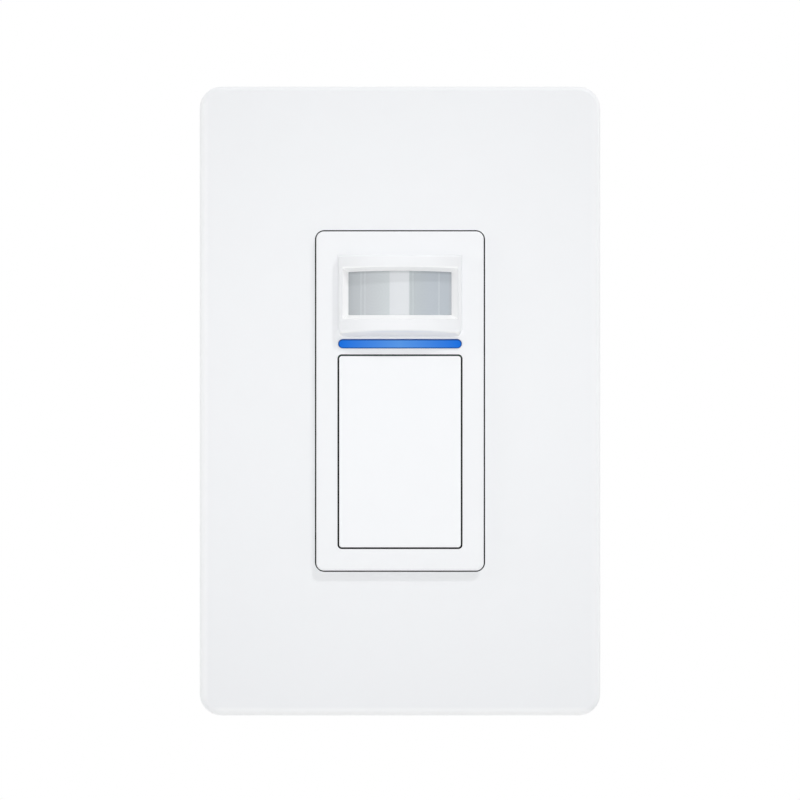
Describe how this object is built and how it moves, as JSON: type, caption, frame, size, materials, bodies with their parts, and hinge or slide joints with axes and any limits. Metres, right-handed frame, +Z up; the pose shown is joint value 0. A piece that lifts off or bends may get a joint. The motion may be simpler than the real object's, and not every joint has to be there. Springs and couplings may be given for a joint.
{
  "type": "motion sensor light switch",
  "caption": "Wall switch with a hooded infrared motion sensor, a lit bar and a sprung paddle, in a screwless wall plate with a boxed rear housing and wire terminals.",
  "frame": {"origin": "midway between the two box screws, on the plane of the wall (rear of the strap's ears and of the wall plate's rim)", "axes": "+Z up, +X to the right seen from the front, +Y into the wall; the front faces -Y"},
  "size_m": [0.079, 0.0412, 0.124],
  "materials": {
    "plate_plastic": "fine satin",
    "base_plastic": "matte",
    "strap_steel": "zinc plated",
    "screw_steel": "zinc plated",
    "painted_screw": "painted head",
    "ground_green": "green plated",
    "lens_plastic": "translucent",
    "bar_plastic": "lit from behind",
    "carrier_plastic": "matte",
    "spring_steel": "bright wire",
    "board_laminate": "solder mask",
    "sensor_metal": "nickel plated",
    "sensor_filter": "dark filter",
    "sensor_plug": "plated",
    "switch_plastic": "matte",
    "plunger_plastic": "matte",
    "diode_plastic": "clear resin",
    "chip_resin": "matte resin",
    "pin_metal": "gold flash",
    "housing_plastic": "matte",
    "relay_plastic": "satin",
    "ferrite": "sintered",
    "winding_tape": "wound tape",
    "capacitor_sleeve": "sleeve",
    "film_resin": "resin",
    "varistor_resin": "resin",
    "resistor_resin": "coating",
    "bracket_brass": "rolled",
    "screw_brass": "turned"
  },
  "bodies": {
    "device": {"wall_plate_cover": "plate_plastic", "wall_plate_base": "base_plastic", "base_plate_screws": "painted_screw", "yoke": "strap_steel", "box_screws": "screw_steel", "ground_screw": "ground_green", "front_frame": "plate_plastic", "fresnel_lens": "lens_plastic", "lens_retainer": "carrier_plastic", "light_pipe": "bar_plastic", "paddle_spring": "spring_steel", "inner_carrier": "carrier_plastic", "control_board": "board_laminate", "pir_sensor_can": "sensor_metal", "pir_sensor_window": "sensor_filter", "pir_sensor_base": "sensor_plug", "tact_switch_body": "switch_plastic", "status_leds": "diode_plastic", "controller_chip": "chip_resin", "link_header": "switch_plastic", "link_pins": "pin_metal", "rear_housing": "housing_plastic", "housing_screws": "screw_steel", "power_board": "board_laminate", "relay": "relay_plastic", "transformer_core": "ferrite", "transformer_bobbin": "winding_tape", "filter_capacitors": "capacitor_sleeve", "film_capacitor": "film_resin", "varistor": "varistor_resin", "fuse_resistor": "resistor_resin", "bridge_rectifier": "chip_resin", "line_bracket": "bracket_brass", "load_bracket": "bracket_brass", "neutral_bracket": "bracket_brass"},
    "paddle": {"paddle": "plate_plastic"},
    "plunger": {"tact_switch_plunger": "plunger_plastic"},
    "line_clamp": {"line_clamp_plate": "screw_brass", "line_screw": "screw_brass"},
    "load_clamp": {"load_clamp_plate": "screw_brass", "load_screw": "screw_brass"},
    "neutral_clamp": {"neutral_clamp_plate": "screw_steel", "neutral_screw": "screw_steel"}
  },
  "joints": [
    {"name": "paddle_hinge", "type": "hinge", "parent": "device", "child": "paddle", "pos_m": [0, -0.0044, 0.0074], "axis": [1, 0, 0], "range_deg": [0, 1.1], "stiffness_Nm_per_rad": 0.35, "springref_deg": -3.44, "deforming": ["paddle_spring"]},
    {"name": "plunger_slide", "type": "slide", "parent": "device", "child": "plunger", "axis": [0, 1, 0], "range_m": [0, 0.00036]},
    {"name": "line_clamp_slide", "type": "slide", "parent": "device", "child": "line_clamp", "axis": [1, 0, 0], "range_m": [-0.0018, 0]},
    {"name": "load_clamp_slide", "type": "slide", "parent": "device", "child": "load_clamp", "axis": [1, 0, 0], "range_m": [-0.0018, 0]},
    {"name": "neutral_clamp_slide", "type": "slide", "parent": "device", "child": "neutral_clamp", "axis": [-1, 0, 0], "range_m": [-0.0018, 0]}
  ],
  "couplings": [
    {"joint": "plunger_slide", "follows": "paddle_hinge", "m_per_rad": 0.0178}
  ]
}
